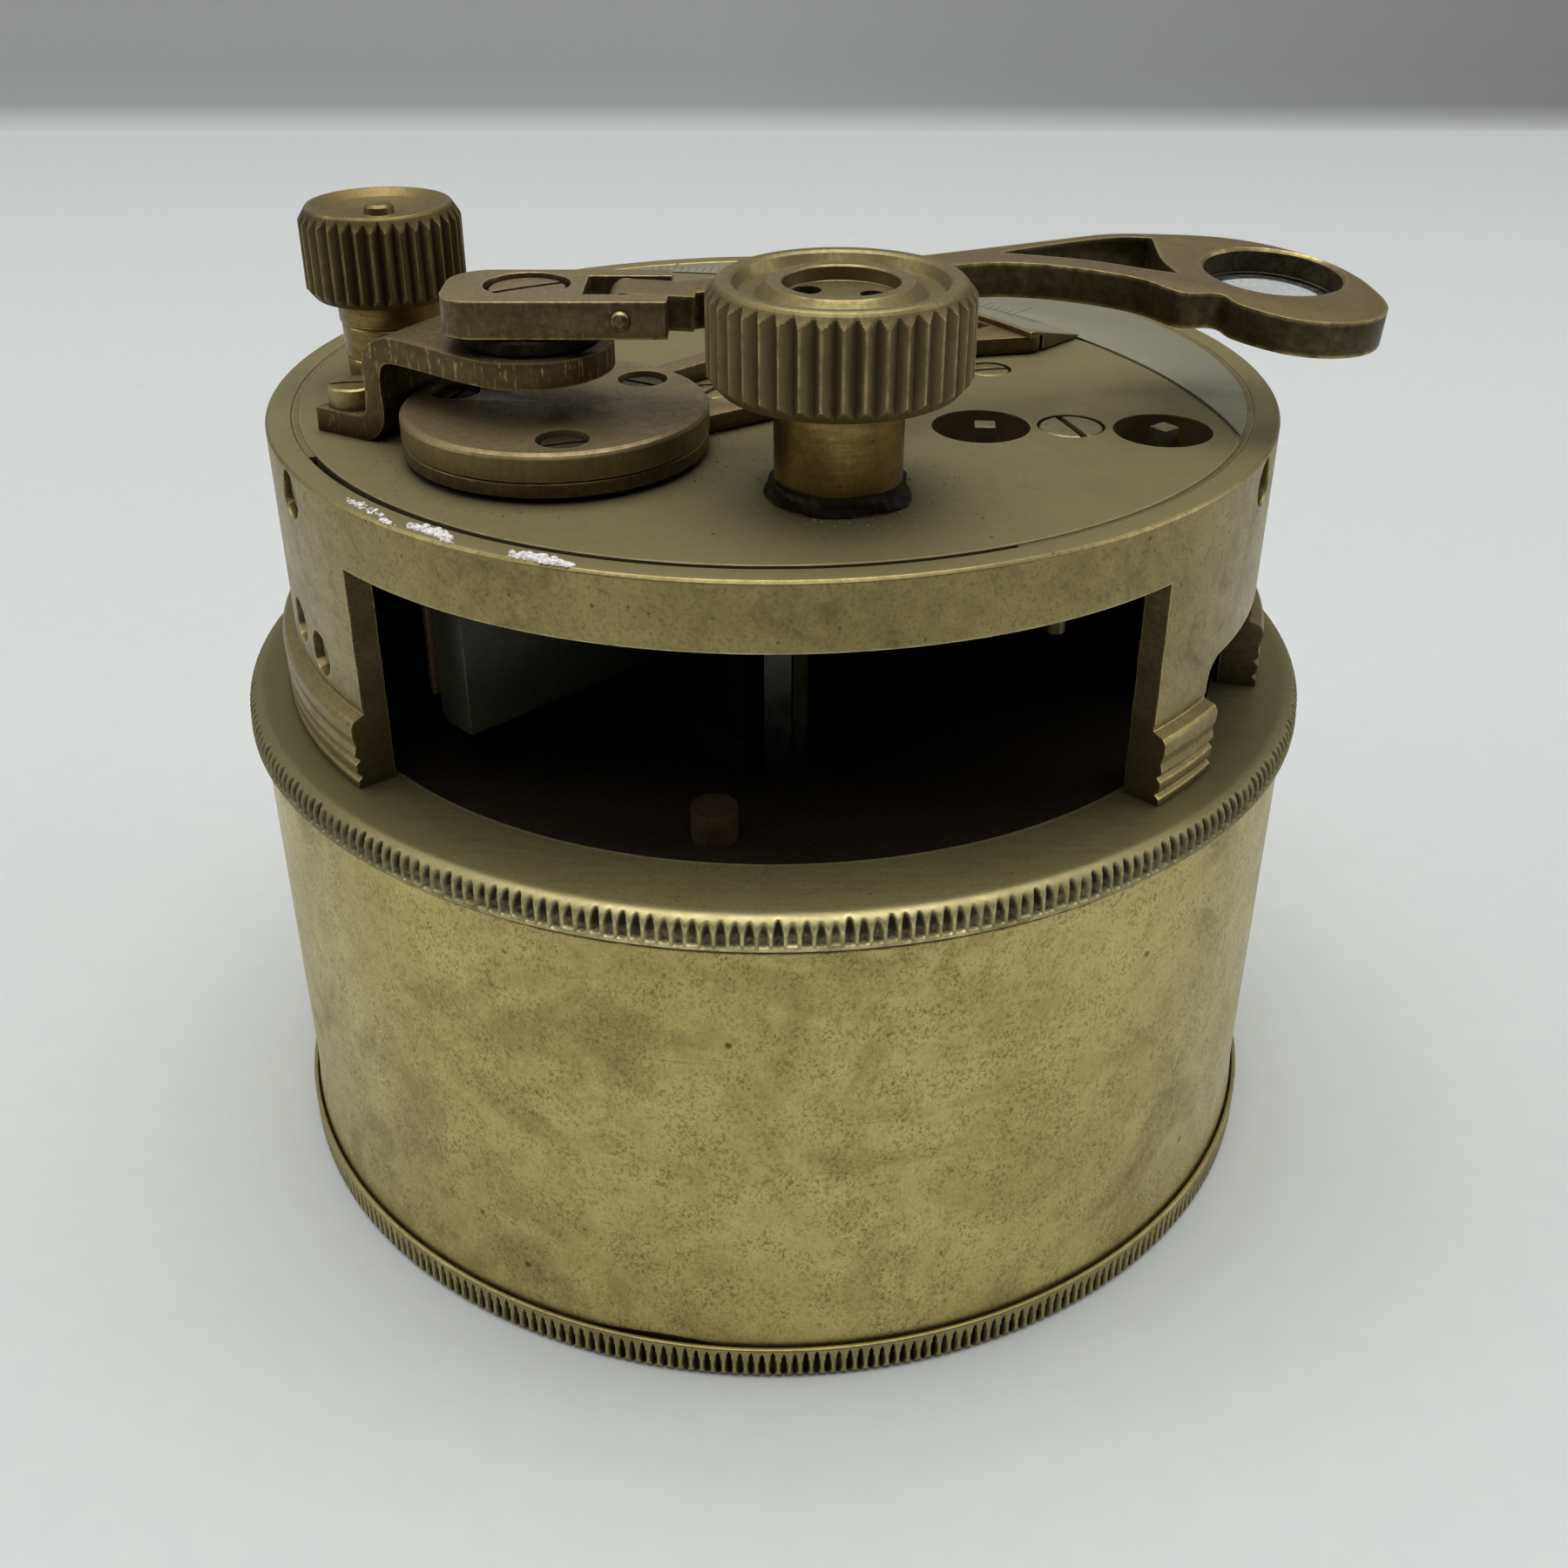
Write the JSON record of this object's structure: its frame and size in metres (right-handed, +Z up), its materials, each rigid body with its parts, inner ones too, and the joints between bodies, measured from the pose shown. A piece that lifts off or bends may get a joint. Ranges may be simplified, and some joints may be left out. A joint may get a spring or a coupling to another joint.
{
  "type": "box sextant",
  "caption": "Pocket box sextant in aged brass: drum body with window openings on its screw-on cover, milled drive knob, index arm over a silvered arc, folding magnifier and adjusting key.",
  "frame": {"origin": "centre of the cover's underside, on the surface it stands on", "axes": "+Z up along the drum axis; the wide window faces -Y; +X to the right of the window"},
  "size_m": [0.076, 0.076, 0.0684],
  "materials": {
    "drum_brass": "aged satin",
    "olive_brass": "aged satin",
    "bronze": "worn patina",
    "gold_brass": "turned",
    "dark_brass": "dark patina",
    "silvered": "silvered brass",
    "mirror": "old mirror glass",
    "lens_glass": "clear",
    "shade_glass": "dark green"
  },
  "bodies": {
    "cover": {"cover_base": "olive_brass", "cover_wall": "drum_brass"},
    "instrument": {"body_flange": "olive_brass", "body_wall": "olive_brass", "ring_screw_1": "olive_brass", "ring_screw_2": "olive_brass", "ring_screw_3": "olive_brass", "wall_screw_1": "olive_brass", "wall_screw_2": "olive_brass", "top_plate": "olive_brass", "silver_arc": "silvered", "clamp_screw": "olive_brass", "plate_screw_1": "olive_brass", "plate_screw_2": "olive_brass", "collar_bush": "dark_brass", "adjuster_bridge": "olive_brass", "horizon_glass": "mirror", "horizon_carrier": "dark_brass", "shade_glass": "shade_glass", "shade_holder": "dark_brass", "floor_pin": "gold_brass", "bracket": "bronze", "foot_screw": "olive_brass", "spacer": "bronze", "swivel_screw": "bronze"},
    "index": {"index_arm": "bronze", "vernier": "silvered", "pivot_cap": "bronze", "cap_screw_1": "dark_brass", "cap_screw_2": "dark_brass", "cap_screw_3": "dark_brass", "index_spindle": "gold_brass", "index_sector": "olive_brass", "mirror_frame": "olive_brass", "index_mirror": "mirror"},
    "drive": {"knob_head": "olive_brass", "knob_stem": "gold_brass", "pinion": "gold_brass"},
    "key": {"key_head": "olive_brass", "key_stem": "olive_brass"},
    "turn_screw_1": {"adjuster_1": "olive_brass"},
    "turn_screw_2": {"adjuster_2": "olive_brass"},
    "swivel": {"swivel_block": "bronze", "hinge_pin": "bronze"},
    "magnifier": {"magnifier_arm": "bronze", "lens": "lens_glass"}
  },
  "joints": [
    {"name": "instrument_lift", "type": "slide", "parent": "cover", "child": "instrument", "axis": [0, 0, 1], "range_m": [0, 0.012]},
    {"name": "index_turn", "type": "hinge", "parent": "instrument", "child": "index", "pos_m": [-0.0133, -0.014, 0.0567], "axis": [0, 0, 1], "range_deg": [-26, 30]},
    {"name": "knob_turn", "type": "hinge", "parent": "instrument", "child": "drive", "pos_m": [0.0039, -0.0212, 0.062], "axis": [0, 0, 1], "range_deg": [-151, 131]},
    {"name": "key_lift", "type": "slide", "parent": "instrument", "child": "key", "axis": [0, 0, 1], "range_m": [0, 0.015]},
    {"name": "adjuster_1_turn", "type": "hinge", "parent": "instrument", "child": "turn_screw_1", "pos_m": [0.0137, -0.0093, 0.052], "axis": [0, 0, 1], "range_deg": [-180, 180]},
    {"name": "adjuster_2_turn", "type": "hinge", "parent": "instrument", "child": "turn_screw_2", "pos_m": [0.0252, -0.0098, 0.052], "axis": [0, 0, 1], "range_deg": [-180, 180]},
    {"name": "magnifier_swing", "type": "hinge", "parent": "instrument", "child": "swivel", "pos_m": [-0.0145, -0.014, 0.065], "axis": [0, 0, 1], "range_deg": [-3, 80]},
    {"name": "magnifier_tilt", "type": "hinge", "parent": "swivel", "child": "magnifier", "pos_m": [-0.0087, -0.0142, 0.0652], "axis": [0, -1, 0], "range_deg": [0, 80]}
  ],
  "couplings": [
    {"joint": "knob_turn", "follows": "index_turn", "ratio": -5}
  ]
}
